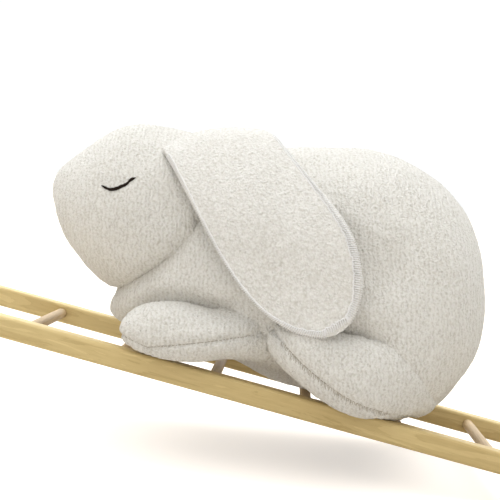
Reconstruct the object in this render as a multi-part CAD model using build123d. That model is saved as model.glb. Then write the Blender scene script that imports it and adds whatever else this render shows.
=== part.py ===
"""Stuffed terry rabbit lying on a flat wooden ladder frame.

Millimetres. +Z is up, the rails run along X, the nose points to -X and the left side is -Y.
The origin is the middle of the ladder frame, on the plane that the rails stand on.
"""

import os
from math import atan2, copysign, cos, pi, radians, sin, sqrt

from build123d import *

# Ladder frame
RAIL_LENGTH = 400.0
RAIL_WIDTH = 11.0
RAIL_HEIGHT = 11.0
RAIL_EDGE_RADIUS = 1.8
RAIL_SPACING = 106.0
RUNG_COUNT = 8
RUNG_SPACING = RAIL_LENGTH / RUNG_COUNT
RUNG_DIAMETER = 6.0
RUNG_SEAT_DEPTH = 7.5
RUNG_CLEARANCE = 0.1

# Plush cloth and the gaps between pieces that move apart
COVER_THICKNESS = 2.0
REST_GAP = 0.3
EAR_GAP = 1.4

# Body: a loaf, widest behind the middle
BODY_FRONT = -92.2
BODY_LENGTH = 201.5
BODY_WIDTH = 138.0
BODY_HEIGHT = 137.5
BODY_LOW = 8.0
BODY_WIDEST = 0.42

# Head: a blunt wedge
HEAD_FRONT = -139.8
HEAD_LENGTH = 112.0
HEAD_WIDTH = 108.0
HEAD_HEIGHT = 100.0
HEAD_LOW = 29.0
HEAD_WIDEST = 0.46

# Front paws: the right one reaches further forward
PAW_LENGTH = 84.0
PAW_WIDTH = 35.0
PAW_HEIGHT = 31.0
PAW_LOW = 10.8
PAW_SIDE = 57.0
PAW_WIDEST = 0.45
PAW_TUCK = 26.0
LEFT_PAW_FRONT = -77.5
RIGHT_PAW_FRONT = -97.5

# Hind legs: a haunch that runs out into a foot with a raised toe
LEG_FRONT = -3.0
LEG_LENGTH = 92.0
LEG_WIDTH = 40.0
LEG_HEIGHT = 40.0
LEG_LOW = 10.8
LEG_SIDE = 57.4
LEG_WIDEST = 0.45
LEG_TUCK = 26.0
# Share of a limb's length from which it bends in under the body
TUCK_START = 0.40

# Ears: two layers of cloth that hang from the crown over the flank
EAR_LAYER = 2.0
EAR_WIDTH = 65.0
EAR_ROOT_WIDTH = 52.0
EAR_ROOT_X = -56.0
EAR_ROOT_ANGLES = (46.0, 78.0, 72.0)
EAR_TIP_X = 30.5
EAR_TIP_Z = 50.0
EAR_SPREAD = 0.70
EAR_LOOSENESS = 2.8
EAR_FLARE = 0.14

# Embroidered closed eyes
EYE_LENGTH = 17.0
EYE_DROP = 2.6
EYE_STITCH = 1.6
EYE_RAISE = 0.8
EYE_X = -97.0
EYE_Z = 92.0
EYE_SLOPE = 32.0

LEFT = -1
RIGHT = 1

# Sections along each form, as shares of its length, height and half width:
# (along, lowest, highest, half width)
BODY_SECTIONS = [
    (0.000, 0.10, 0.22, 0.16),
    (0.035, 0.065, 0.315, 0.46),
    (0.110, 0.04, 0.53, 0.69),
    (0.215, 0.04, 0.755, 0.83),
    (0.335, 0.05, 0.905, 0.90),
    (0.480, 0.03, 0.967, 0.96),
    (0.620, 0.00, 1.00, 1.00),
    (0.765, 0.00, 0.955, 0.98),
    (0.875, 0.04, 0.855, 0.87),
    (0.945, 0.12, 0.70, 0.66),
    (0.985, 0.22, 0.56, 0.40),
    (1.000, 0.30, 0.46, 0.17),
]
HEAD_SECTIONS = [
    (0.000, 0.46, 0.58, 0.13),
    (0.035, 0.395, 0.645, 0.32),
    (0.100, 0.28, 0.735, 0.55),
    (0.200, 0.165, 0.865, 0.75),
    (0.310, 0.08, 0.955, 0.89),
    (0.450, 0.015, 0.99, 0.98),
    (0.600, 0.00, 1.00, 1.00),
    (0.750, 0.04, 0.97, 0.95),
    (0.880, 0.15, 0.87, 0.80),
    (0.960, 0.28, 0.74, 0.58),
    (1.000, 0.41, 0.63, 0.30),
]
PAW_SECTIONS = [
    (0.00, 0.22, 0.50, 0.25),
    (0.05, 0.10, 0.72, 0.60),
    (0.17, 0.01, 0.93, 0.90),
    (0.38, 0.00, 1.00, 1.00),
    (0.62, 0.18, 1.02, 0.98),
    (0.84, 0.40, 0.97, 0.82),
    (1.00, 0.54, 0.84, 0.45),
]
LEG_SECTIONS = [
    (0.00, 0.56, 0.78, 0.22),
    (0.05, 0.40, 0.90, 0.52),
    (0.17, 0.22, 0.97, 0.82),
    (0.37, 0.05, 1.00, 1.00),
    (0.60, 0.00, 1.00, 1.00),
    (0.80, 0.03, 0.92, 0.86),
    (0.93, 0.16, 0.70, 0.58),
    (1.00, 0.32, 0.54, 0.25),
]
# Ear, from root to tip: (along, half width)
EAR_SECTIONS = [
    (0.00, 0.82),
    (0.06, 0.84),
    (0.13, 0.87),
    (0.28, 0.93),
    (0.45, 0.96),
    (0.62, 0.94),
    (0.78, 0.83),
    (0.90, 0.61),
    (0.97, 0.36),
    (1.00, 0.14),
]

rail_top = RAIL_HEIGHT
rung_level = RAIL_HEIGHT / 2


def quarter(a, b):
    """Points of a quarter oval from (a, 0) to (0, b): two arcs that run smoothly into each other."""
    turn = atan2(a, b)
    spread = (a - b) / (sin(turn) + cos(turn) - 1)
    r1 = a - spread * cos(turn)
    r2 = b + spread * sin(turn)
    c1 = a - r1
    c2 = b - r2
    late = (turn + pi / 2) / 2
    return [
        (a, 0),
        (c1 + r1 * cos(turn / 2), r1 * sin(turn / 2)),
        (c1 + r1 * cos(turn), r1 * sin(turn)),
        (r2 * cos(late), c2 + r2 * sin(late)),
        (0, b),
    ]


def oval(x, y, half, low, wide, high):
    """Face across X with its widest line at height wide."""
    up = quarter(half, high - wide)
    down = quarter(half, wide - low)
    ring = [(p, q) for p, q in up]
    ring += [(-p, q) for p, q in reversed(up[:-1])]
    ring += [(-p, -q) for p, q in down[1:]]
    ring += [(p, -q) for p, q in reversed(down[:-1])]
    pts = [(x, y + p, wide + q) for p, q in ring]
    arcs = [ThreePointArc(pts[i], pts[i + 1], pts[i + 2]) for i in range(0, 16, 2)]
    return Face(Wire(arcs))


def section_sizes(spec, share, grow):
    """Lowest, widest and highest level and half width of a form at a share of its length."""
    rows = spec["sections"]
    i = 0
    while i < len(rows) - 2 and rows[i + 1][0] < share:
        i += 1
    a, b = rows[i], rows[i + 1]
    t = (share - a[0]) / (b[0] - a[0])
    low, high, half = [a[k] + t * (b[k] - a[k]) for k in (1, 2, 3)]
    low = spec["low"] + low * spec["height"]
    high = spec["low"] + high * spec["height"]
    half = half * spec["width"] / 2
    wide = low + spec["widest"] * (high - low)
    return low - grow, wide, high + grow, half + grow


def form(spec, grow=0.0):
    """Loft through the sections of a form, grown outwards or shrunk by an even step."""
    faces = []
    for row in spec["sections"]:
        share = row[0]
        x = spec["front"] - grow + share * (spec["length"] + 2 * grow)
        low, wide, high, half = section_sizes(spec, share, grow)
        bend = max(0.0, share - TUCK_START) / (1 - TUCK_START)
        y = spec["side"] - copysign(spec["tuck"] * bend**2, spec["side"])
        faces.append(oval(x, y, half, low, wide, high))
    return loft(faces)


body_spec = dict(
    sections=BODY_SECTIONS, front=BODY_FRONT, length=BODY_LENGTH, width=BODY_WIDTH,
    height=BODY_HEIGHT, low=BODY_LOW, widest=BODY_WIDEST, side=0.0, tuck=0.0,
)
head_spec = dict(
    sections=HEAD_SECTIONS, front=HEAD_FRONT, length=HEAD_LENGTH, width=HEAD_WIDTH,
    height=HEAD_HEIGHT, low=HEAD_LOW, widest=HEAD_WIDEST, side=0.0, tuck=0.0,
)


def paw_spec(side):
    """Front paw of one side."""
    front = LEFT_PAW_FRONT if side == LEFT else RIGHT_PAW_FRONT
    return dict(
        sections=PAW_SECTIONS, front=front, length=PAW_LENGTH, width=PAW_WIDTH,
        height=PAW_HEIGHT, low=PAW_LOW, widest=PAW_WIDEST, side=side * PAW_SIDE, tuck=PAW_TUCK,
    )


def leg_spec(side):
    """Hind leg of one side."""
    return dict(
        sections=LEG_SECTIONS, front=LEG_FRONT, length=LEG_LENGTH, width=LEG_WIDTH,
        height=LEG_HEIGHT, low=LEG_LOW, widest=LEG_WIDEST, side=side * LEG_SIDE, tuck=LEG_TUCK,
    )


def seat(grow=0.0):
    """Room kept for the ladder frame below the rabbit: over the rails, and lower between them."""
    gap = REST_GAP + grow
    inner = RAIL_SPACING / 2 - RAIL_WIDTH / 2 - gap
    rung_top = rung_level + RUNG_DIAMETER / 2 + gap
    far = 2 * BODY_WIDTH
    deep = 4 * RAIL_HEIGHT
    middle = Pos(0, 0, rung_top - deep / 2) * Box(2 * RAIL_LENGTH, far, deep)
    side_width = far / 2 - inner
    sides = [
        Pos(0, side * (inner + side_width / 2), rail_top + gap - deep / 2)
        * Box(2 * RAIL_LENGTH, side_width, deep)
        for side in (LEFT, RIGHT)
    ]
    return middle + sides[0] + sides[1]


def rail(side):
    """Square bar with rounded edges and a blind hole for each rung in its inner face."""
    bar = Box(RAIL_LENGTH, RAIL_WIDTH, RAIL_HEIGHT)
    bar = fillet(bar.edges(), RAIL_EDGE_RADIUS)
    bar = Pos(0, side * RAIL_SPACING / 2, rung_level) * bar
    mouth = side * (RAIL_SPACING / 2 - RAIL_WIDTH / 2)
    radius = RUNG_DIAMETER / 2 + RUNG_CLEARANCE
    for x in rung_places():
        hole = Rot(90, 0, 0) * Cylinder(radius, 2 * RUNG_SEAT_DEPTH)
        bar -= Pos(x, mouth, rung_level) * hole
    return bar


def rung_places():
    """Places of the rungs along the rails, evenly spaced about the middle."""
    first = -RUNG_SPACING * (RUNG_COUNT - 1) / 2
    return [first + i * RUNG_SPACING for i in range(RUNG_COUNT)]


def rung(x):
    """Round dowel that ends on the floor of both blind holes."""
    length = RAIL_SPACING - RAIL_WIDTH + 2 * RUNG_SEAT_DEPTH
    dowel = Rot(90, 0, 0) * Cylinder(RUNG_DIAMETER / 2, length)
    return Pos(x, 0, rung_level) * dowel


def stuffed(spec, cuts, wall_cuts):
    """Cover and filling of a stuffed piece; cuts end the cover, wall_cuts end the filling."""
    outer = form(spec)
    for cut in cuts:
        outer -= cut
    filling = form(spec, -COVER_THICKNESS)
    for cut in wall_cuts:
        filling -= cut
    return outer - filling, filling


def ear_bed(x):
    """Half width, widest level and top of the smooth bed that an ear lies on, from head to body."""
    head_x = HEAD_FRONT + 0.6 * HEAD_LENGTH
    body_x = BODY_FRONT + 0.62 * BODY_LENGTH
    u = (x - head_x) / (body_x - head_x)
    gap = EAR_GAP + EAR_LOOSENESS * max(0.0, min(1.0, 3 * u))
    half = HEAD_WIDTH / 2 * (1 - u) + BODY_WIDTH / 2 * u
    wide = (HEAD_LOW + HEAD_WIDEST * HEAD_HEIGHT) * (1 - u)
    wide += (BODY_LOW + BODY_WIDEST * BODY_HEIGHT) * u
    top = (HEAD_LOW + HEAD_HEIGHT) * (1 - u) + (BODY_LOW + BODY_HEIGHT) * u
    return half + gap, wide, top + gap


def ear_point(side, x, z):
    """Place on the bed at x and z, and the outward direction there; it hangs below the widest level."""
    half, wide, top = ear_bed(x)
    rise = max(0.0, min(0.98, (z - wide) / (top - wide)))
    out = half * sqrt(1 - rise * rise) + EAR_FLARE * max(0.0, wide - z)
    normal = Vector(0, side * sqrt(1 - rise * rise) / half, rise / (top - wide))
    return Vector(x, side * out, z), normal.normalized()


def ear_root():
    """Front, middle and back of the seam that holds the ear, seen from the side."""
    places = []
    for step, angle in zip((-0.5, 0.0, 0.5), EAR_ROOT_ANGLES):
        x = EAR_ROOT_X + step * EAR_ROOT_WIDTH
        half, wide, top = ear_bed(x)
        places.append(Vector(x, 0, wide + (top - wide) * sin(radians(angle))))
    return places


def ear_layer(side, first, last):
    """One layer of cloth of an ear, between two distances above its bed."""
    root = ear_root()
    run = Vector(EAR_TIP_X, 0, EAR_TIP_Z) - root[1]
    across = Vector(-run.Z, 0, run.X).normalized()
    faces = []
    for along, share in EAR_SECTIONS:
        half = share * EAR_WIDTH / 2
        straight = min(1.0, along / EAR_SPREAD)
        spots = []
        for place, step in zip(root, (-half, 0.0, half)):
            hung = root[1] + run * along + across * step
            seamed = place + run * along
            spot = seamed * (1 - straight) + hung * straight
            spots.append(ear_point(side, spot.X, spot.Z))
        (pf, _), (pm, nm), (pb, _) = spots
        chord = (pb - pf).normalized()
        out = (nm - chord * nm.dot(chord)).normalized()
        centre = (pf + pb) * 0.5
        crown = centre + out * max(0.4, (pm - centre).dot(out))
        low = [p + out * first for p in (pf, crown, pb)]
        top = [p + out * last for p in (pf, crown, pb)]
        edges = [
            ThreePointArc(low[0], low[1], low[2]),
            Line(low[2], top[2]),
            ThreePointArc(top[2], top[1], top[0]),
            Line(top[0], low[0]),
        ]
        faces.append(Face(Wire(edges)))
    return loft(faces)


def eye(side, head_skin, head):
    """Raised band of thread that follows the head: a shallow smile-shaped arc."""
    half = EYE_LENGTH / 2
    thick = EYE_STITCH / 2
    outer = ThreePointArc((-half, thick), (0, thick - EYE_DROP), (half, thick))
    inner = ThreePointArc((half, -thick), (0, -thick - EYE_DROP), (-half, -thick))
    left_end = ThreePointArc((-half, -thick), (-half - thick / 2, 0), (-half, thick))
    right_end = ThreePointArc((half, thick), (half + thick / 2, 0), (half, -thick))
    band = make_face([outer, right_end, inner, left_end])
    plane = Plane(origin=(EYE_X, 0, EYE_Z), x_dir=(1, 0, 0), z_dir=(0, -1, 0))
    prism = plane * (Rot(0, 0, EYE_SLOPE) * band)
    prism = extrude(prism, amount=HEAD_WIDTH, dir=(0, side, 0))
    return (prism & head_skin) - head


def build():
    """All the pieces by node name."""
    nodes = {"left_rail": rail(LEFT), "right_rail": rail(RIGHT)}
    for number, x in enumerate(rung_places(), start=1):
        nodes[f"rung_{number}"] = rung(x)

    bed = seat()
    bed_wall = seat(COVER_THICKNESS)
    body = form(body_spec) - bed
    body_wall = form(body_spec, COVER_THICKNESS)

    nodes["body_cover"], nodes["body_filling"] = stuffed(body_spec, [bed], [bed_wall])
    nodes["head_cover"], nodes["head_filling"] = stuffed(head_spec, [body], [body_wall])
    for side, name in ((LEFT, "left"), (RIGHT, "right")):
        cover, filling = stuffed(paw_spec(side), [bed, body], [bed_wall, body_wall])
        nodes[f"{name}_front_paw_cover"] = cover
        nodes[f"{name}_front_paw_filling"] = filling
        cover, filling = stuffed(leg_spec(side), [bed, body], [bed_wall, body_wall])
        nodes[f"{name}_hind_leg_cover"] = cover
        nodes[f"{name}_hind_leg_filling"] = filling
        nodes[f"{name}_ear_lining"] = ear_layer(side, 0.0, EAR_LAYER)
        nodes[f"{name}_ear_outer"] = ear_layer(side, EAR_LAYER, 2 * EAR_LAYER)

    head = form(head_spec)
    head_skin = form(head_spec, EYE_RAISE)
    nodes["left_eye"] = eye(LEFT, head_skin, head)
    nodes["right_eye"] = eye(RIGHT, head_skin, head)
    return nodes


os.makedirs("parts", exist_ok=True)
for node, shape in build().items():
    shape.label = node
    export_step(shape, f"parts/{node}.step")
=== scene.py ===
"""Looks of a stuffed terry rabbit on a wooden ladder frame, laid out as an add-on."""

import math

import bmesh
import bpy
import numpy as np
from bpy.props import FloatProperty, FloatVectorProperty, IntProperty, PointerProperty
from mathutils import Matrix, Vector, noise
from mathutils.bvhtree import BVHTree


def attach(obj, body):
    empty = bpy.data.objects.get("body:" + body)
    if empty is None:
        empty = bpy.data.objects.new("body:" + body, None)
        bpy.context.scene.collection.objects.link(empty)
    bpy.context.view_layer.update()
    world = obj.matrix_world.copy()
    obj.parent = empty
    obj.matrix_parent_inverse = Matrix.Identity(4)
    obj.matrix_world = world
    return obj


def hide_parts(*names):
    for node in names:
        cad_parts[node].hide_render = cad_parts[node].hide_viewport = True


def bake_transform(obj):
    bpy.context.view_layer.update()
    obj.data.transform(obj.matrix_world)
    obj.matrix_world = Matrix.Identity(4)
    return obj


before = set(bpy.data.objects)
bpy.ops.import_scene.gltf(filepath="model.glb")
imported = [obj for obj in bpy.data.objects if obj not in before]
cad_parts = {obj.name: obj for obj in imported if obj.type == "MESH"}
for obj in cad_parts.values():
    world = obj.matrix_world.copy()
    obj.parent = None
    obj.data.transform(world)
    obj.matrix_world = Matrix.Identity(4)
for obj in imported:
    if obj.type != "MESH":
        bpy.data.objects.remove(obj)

bl_info = {
    "name": "Plush Rabbit on Ladder Frame",
    "version": (1, 0, 0),
    "blender": (4, 5, 0),
    "location": "3D View > Sidebar > Rabbit",
    "description": "Builds the plush pieces, ears, stitching and wood of the rabbit",
    "category": "Object",
}

LEFT = -1
RIGHT = 1
SIDES = ((LEFT, "left"), (RIGHT, "right"))

# Half the length of the ladder frame, and the outer face of its rails
LADDER_HALF = 0.2
RAIL_FACE = 0.0585

# Where the plush lies over a rail, and the levels it keeps above: rails, rungs, and beside the rails
OVER_RAIL_FROM = 0.0474
OVER_RAIL_TO = 0.0592
ABOVE_RAIL = 0.01108
ABOVE_RUNG = 0.00865
BESIDE_RAIL = 0.0040

# How much further forward the right front paw reaches
RIGHT_PAW_LEAD = 0.020

# Widths of the lumps in the filling, height of the small ones beside the large, and width of the loops
LUMP_SIZE = 0.034
SMALL_LUMP_SIZE = 0.013
SMALL_LUMP_SHARE = 0.45
NAP_SIZE = 0.0026

# How deep a sewn piece goes into the body, and from how near
SEWN_DEPTH = 0.006
SEWN_NEAR = 0.0016

# Steps in which the filling pushes the cloth out
PUFF_STEPS = 20

# Rolls beside a seam, as a share of its depth, and how far the gathers along it fade
ROLL_SHARE = 0.35
ROLL_PLACE = 0.0048
ROLL_WIDTH = 0.003
GATHER_FADE = 0.0042

# Folds between two pieces: how near they start, and how far the cloth moves there
EAR_FOLD = (0.020, -0.0025)
NECK_FOLD = (0.006, -0.0022)
PAW_FOLD = (0.010, 0.005)
LEG_FOLD = (0.016, 0.0058)
LIMB_EDGE = 0.008
LEAST_REACH = 0.0005

# Run-out behind a limb: how near it starts, and how steeply the cloth rises to the limb
RUN_OUT = 0.023
RUN_OUT_RISE = 0.25

# Hollows in side view as x, z, width and depth; a negative depth makes a hump
BODY_HOLLOWS = (
    (0.045, 0.083, 0.019, 0.0052),
    (0.020, 0.098, 0.014, 0.002),
    (0.006, 0.012, 0.020, -0.004),
)
HEAD_HOLLOWS = ((-0.070, 0.086, 0.014, 0.0028),)
LEG_HOLLOWS = ((0.016, 0.045, 0.014, -0.0038), (0.046, 0.013, 0.016, -0.0028))

# Sole seam of a front paw in side view: lowest place, level there, and steepness behind and ahead of it
PAW_SEAM_X = -0.060
PAW_SEAM_LEVEL = 0.0166
PAW_SEAM_BEHIND = 0.384
PAW_SEAM_AHEAD = 0.12

# Sole seam of a hind leg in side view: where it runs level, that level, and its curve up to the toe
LEG_SEAM_X = 0.068
LEG_SEAM_LEVEL = 0.016
LEG_SEAM_CURVE = 5.2

# Stitches: how far aside they start before they are laid on the cloth, their points, rise and dip
LAID_FROM = 0.2
STITCH_POINTS = 5
STITCH_RISE = 0.00008
STITCH_DIP = 0.0006

# Thickness of a thread's ends, as a share of the rest
THREAD_END = 0.55

# Direction across the knitted ribs, and one full turn of their wave
RIB_DIRECTION = (0.9648, 0.0366, 0.2604)
RIB_TURN = 6.28318

# Bed that an ear lies on, at the head and at the body: x, half width, level of that width, and top
HEAD_BED = (-0.0726, 0.054, 0.075, 0.129)
BODY_BED = (0.03273, 0.069, 0.06575, 0.1455)
EAR_GAP = 0.0014
EAR_LOOSENESS = 0.0028
EAR_FLARE = 0.14

# Ear seam on the crown, seen from the side, and the tip
EAR_ROOT_X = -0.056
EAR_ROOT_HALF = 0.026
EAR_ROOT_ANGLES = (46.0, 78.0, 72.0)
EAR_TIP = (0.0305, 0.0500)
EAR_SPREAD = 0.70
EAR_LENGTH = 0.128

# Outline of an ear: where it is widest, its width at the root, what it gains, and the round of its tip
EAR_WIDEST = 0.45
EAR_BEYOND = 0.55
EAR_ROOT_WIDTH = 0.82
EAR_GAIN = 0.14
EAR_TIP_ROUND = (2.6, 0.55)
EAR_ASIDE = 0.0006

# Height of an ear's middle over its bed, how it comes down at the sewn root and at the tip, and where
EAR_LIFT = 0.002
EAR_ROOT_DROP = 0.0018
EAR_ROOT_END = 0.07
EAR_TIP_DROP = 0.002
EAR_TIP_FROM = 0.6
EAR_TIP_RUN = 0.4

# Mesh of an ear, the part with even rows, the width of its thin rim, and its lumps and nap
EAR_ROWS = 64
EAR_COLUMNS = 40
EAR_EVEN = 0.55
EAR_ROUND = 0.449
EAR_RIM = 0.006
EAR_RUN = 0.11
EAR_LUMP = 0.0004
EAR_LUMP_SIZE = 0.021
EAR_NAP = 0.00014
EAR_NAP_SIZE = 0.0022

# Hinge of an ear, a place on the flap below it, and the length of cloth from the hinge towards it
EAR_HINGE = (-0.0566, 0.0296, 0.1282)
EAR_AXIS = (-0.877, 0.2965, -0.3781)
EAR_BELOW_HINGE = (-0.036, 0.111)
EAR_BEND = 0.022

# Overlock: marks along half the edge, where it starts and ends, and how the threads lie on the cloth
EDGE_MARKS = 160
EDGE_FIRST = 4
EDGE_END = 0.985
THREAD_SLANT = 0.6
THREAD_WOBBLE = 0.22
THREAD_SINK = 0.0001
THREAD_RISE = 0.0003
THREAD_RIM_RISE = 0.0002
THREAD_WRAP = 0.0004
TIE_INSET = 0.0002

# Closed eye in side view: middle, tilt, half length, sag, its lean, and how far the stitches stray
EYE_MIDDLE = (-0.0976, 0.0908)
EYE_TILT = math.radians(31.0)
EYE_HALF = 0.0081
EYE_RUN = 0.0076
EYE_SAG = 0.0025
EYE_LEAN = 0.35
EYE_RISE = 0.0009
EYE_STRAY = 0.0007
EYE_ROWS = (0.0004, -0.0004)
EYE_STITCH_RISE = 0.00025
EYE_STITCH_DIP = 0.0022

# Where the two lamps stand, as shares of up, ahead and right from the camera, and their tints
KEY_PLACE = (1.0, -0.36, -0.10)
KEY_TINT = (1.0, 1.0, 1.0)
RIM_PLACE = (1.0, 0.65, 0.12)
RIM_TINT = (0.955, 0.985, 1.0)

# Tints of the sky and of the floor, as light that comes back from it and as it is seen; the seen tint is
# warm for the camera only, a painted warm bounce light in the floor's shadow
SKY_TINT = (0.975, 0.99, 1.0, 1.0)
SKY_SEEN = 1.06
FLOOR_BOUNCE = (0.74, 0.70, 0.65, 1.0)
FLOOR_SEEN_WARM_SHADE = (0.93, 0.855, 0.775, 1.0)
FLOOR_GLOW = 4.7
FLOOR_GLOW_SHARE = 0.10
FLOOR_SIZE = 12.0


def colour_property(name, description, default):
    """A colour setting in linear values."""
    return FloatVectorProperty(
        name=name, description=description, default=default, size=4, subtype="COLOR", min=0.0, max=1.0
    )


def length_property(name, description, default):
    """A length setting in metres."""
    return FloatProperty(name=name, description=description, default=default, unit="LENGTH", precision=5)


def angle_property(name, description, degrees):
    """An angle setting."""
    return FloatProperty(name=name, description=description, default=math.radians(degrees), subtype="ANGLE")


class PlushSettings(bpy.types.PropertyGroup):
    """Sizes and colours of the stuffed pieces."""

    cloth: colour_property("Cloth", "Lit colour of the terry", (0.838, 0.815, 0.762, 1.0))
    # The shade colour is painted shade: it goes deep between the loops in place of their shadow
    shade: colour_property("Shade", "Colour deep between the loops", (0.60, 0.562, 0.488, 1.0))
    # The sole seam thread is darker than the cloth, partly as painted shade between the gathers of the seams
    seam_thread: colour_property("Seam thread", "Thread of the sole seams", (0.40, 0.34, 0.25, 1.0))
    voxel: length_property("Voxel", "Mesh size of the body and head", 0.0036)
    fine_voxel: length_property("Fine voxel", "Mesh size of paws and legs", 0.0028)
    pressure: FloatProperty(name="Pressure", description="Push of the filling", default=4.0)
    travel: length_property("Travel", "Most that the filling moves the cloth", 0.0016)
    swell: length_property("Swell", "How far neighbours press into each other", 0.0005)
    lump: length_property("Lump", "Height of the soft lumps", 0.0008)
    nap: length_property("Nap", "Height of the loops", 0.00026)
    seam_depth: length_property("Seam depth", "How deep a seam pulls in", 0.0013)
    seam_width: length_property("Seam width", "Half width of a seam's furrow", 0.0011)
    pucker: length_property("Pucker", "Height of the gathers along a seam", 0.0003)
    pucker_pitch: length_property("Pucker pitch", "Spacing of the gathers", 0.0036)
    wale: length_property("Wale", "Spacing of the knitted ribs", 0.0023)


class EarSettings(bpy.types.PropertyGroup):
    """Sizes and colours of the ears."""

    cloth: colour_property("Cloth", "Lit colour of the ear", (0.91, 0.888, 0.84, 1.0))
    # The shade colour is painted shade, given deep in the ear's nap in place of its shadow
    shade: colour_property("Shade", "Colour deep in the nap", (0.68, 0.645, 0.58, 1.0))
    thread: colour_property("Thread", "Overlock thread", (0.97, 0.955, 0.935, 1.0))
    half_thick: length_property("Half thickness", "Half the thickness of the two layers", 0.0019)
    rim_thick: length_property("Rim", "Half thickness under the stitches", 0.0011)
    width: length_property("Width", "Widest across the ear", 0.065)
    pitch: length_property("Stitch pitch", "Spacing of the threads, two to a stitch", 0.00115)
    reach: length_property("Stitch reach", "How far a stitch runs in from the edge", 0.0036)
    thread_radius: length_property("Thread radius", "Half the thread's thickness", 0.00038)


class EyeSettings(bpy.types.PropertyGroup):
    """Sizes and colour of the embroidered eyes."""

    thread: colour_property("Thread", "Embroidery thread", (0.015, 0.0085, 0.0045, 1.0))
    radius: length_property("Radius", "Half the thread's thickness", 0.00048)
    stitch: length_property("Stitch", "Length of a stitch", 0.0034)
    count: IntProperty(name="Stitches", description="Stitches in a row", default=8)


class WoodSettings(bpy.types.PropertyGroup):
    """Colours of the ladder frame."""

    rail_light: colour_property("Rail light", "Pale wood of the rails", (0.745, 0.585, 0.28, 1.0))
    rail_dark: colour_property("Rail dark", "Grain of the rails", (0.48, 0.34, 0.135, 1.0))
    rung_light: colour_property("Rung light", "Pale wood of the rungs", (0.62, 0.455, 0.255, 1.0))
    rung_dark: colour_property("Rung dark", "Grain of the rungs", (0.40, 0.28, 0.15, 1.0))


class StageSettings(bpy.types.PropertyGroup):
    """Camera, light and floor."""

    eye: FloatVectorProperty(
        name="Camera",
        description="Place of the camera",
        default=(-0.00828, -0.6617, 0.10487),
        subtype="TRANSLATION",
    )
    pitch: angle_property("Pitch", "Camera looks down", 2.695)
    yaw: angle_property("Yaw", "Camera looks aside", 1.444)
    roll: angle_property("Roll", "Camera is tipped", 15.108)
    lens: FloatProperty(name="Lens", description="Focal length", default=86.4, unit="CAMERA")
    key: FloatProperty(name="Key", description="Broad light from above", default=2.45)
    rim: FloatProperty(name="Rim", description="Light on the back", default=2.45)
    spread: angle_property("Spread", "Softness of both lamps", 100)
    sky: FloatProperty(name="Sky", description="Even light all round", default=0.21)
    drop: angle_property("Drop", "Floor falls away from the camera", 4.0)
    lean: angle_property("Lean", "Floor falls to the right", 6.0)


# Mesh helpers


def make_object(name, mesh):
    """New object at the origin."""
    obj = bpy.data.objects.new(name, mesh)
    bpy.context.scene.collection.objects.link(obj)
    return obj


def activate(obj):
    """Selects one object alone."""
    bpy.ops.object.select_all(action="DESELECT")
    obj.select_set(True)
    bpy.context.view_layer.objects.active = obj


def apply_modifier(obj, name, kind, **settings):
    """Adds a modifier and applies it."""
    mod = obj.modifiers.new(name, kind)
    for key, value in settings.items():
        setattr(mod, key, value)
    activate(obj)
    bpy.ops.object.modifier_apply(modifier=mod.name)


def points_of(obj):
    """Vertex places as an array."""
    co = np.zeros(len(obj.data.vertices) * 3)
    obj.data.vertices.foreach_get("co", co)
    return co.reshape(-1, 3)


def normals_of(obj):
    """Vertex normals as an array."""
    no = np.zeros(len(obj.data.vertices) * 3)
    obj.data.vertex_normals.foreach_get("vector", no)
    return no.reshape(-1, 3)


def set_points(obj, co):
    """Writes vertex places back."""
    obj.data.vertices.foreach_set("co", co.astype(np.float32).ravel())
    obj.data.update()


def noise_at(co, size, seed=0.0):
    """Smooth noise from -1 to 1 at each point; size is the width of a lump in metres."""
    k = 1.0 / size
    return np.array([noise.noise((x * k + seed, y * k, z * k)) for x, y, z in co])


def even(obj, rounds):
    """Smooths the steps of a remeshed skin without shrinking it."""
    for step in range(rounds):
        apply_modifier(obj, "in", "SMOOTH", factor=0.5, iterations=1)
        apply_modifier(obj, "out", "SMOOTH", factor=-0.52, iterations=1)
    apply_modifier(obj, "last", "SMOOTH", factor=0.5, iterations=1)


def outer_shell(node):
    """Copy of a node's outermost closed surface."""
    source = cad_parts[node]
    bm = bmesh.new()
    bm.from_mesh(source.data)
    bmesh.ops.remove_doubles(bm, verts=bm.verts, dist=1e-5)
    left = set(bm.verts)
    islands = []
    while left:
        seed = left.pop()
        island = {seed}
        edge = [seed]
        while edge:
            vert = edge.pop()
            for link in vert.link_edges:
                other = link.other_vert(vert)
                if other in left:
                    left.discard(other)
                    island.add(other)
                    edge.append(other)
        islands.append(island)
    span = [max(v.co.x for v in i) - min(v.co.x for v in i) for i in islands]
    keep = islands[span.index(max(span))]
    bmesh.ops.delete(bm, geom=[v for v in bm.verts if v not in keep], context="VERTS")
    bmesh.ops.recalc_face_normals(bm, faces=bm.faces)
    mesh = bpy.data.meshes.new(node + "_skin")
    bm.to_mesh(mesh)
    bm.free()
    return mesh


def puff(obj, pressure, travel):
    """Cloth under pressure from the filling; no point moves further than travel."""
    before = points_of(obj)
    mod = obj.modifiers.new("puff", "CLOTH")
    cloth = mod.settings
    cloth.quality = 4
    cloth.mass = 0.3
    cloth.tension_stiffness = 12
    cloth.compression_stiffness = 12
    cloth.bending_stiffness = 0.4
    cloth.use_pressure = True
    cloth.uniform_pressure_force = pressure
    cloth.effector_weights.gravity = 0.0
    mod.point_cache.frame_start = 1
    mod.point_cache.frame_end = PUFF_STEPS
    scene = bpy.context.scene
    for step in range(1, PUFF_STEPS + 1):
        scene.frame_set(step)
    activate(obj)
    bpy.ops.object.modifier_apply(modifier=mod.name)
    scene.frame_set(1)
    move = points_of(obj) - before
    size = np.linalg.norm(move, axis=1, keepdims=True)
    move *= np.minimum(1.0, travel / np.maximum(size, 1e-9))
    set_points(obj, before + move)


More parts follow.
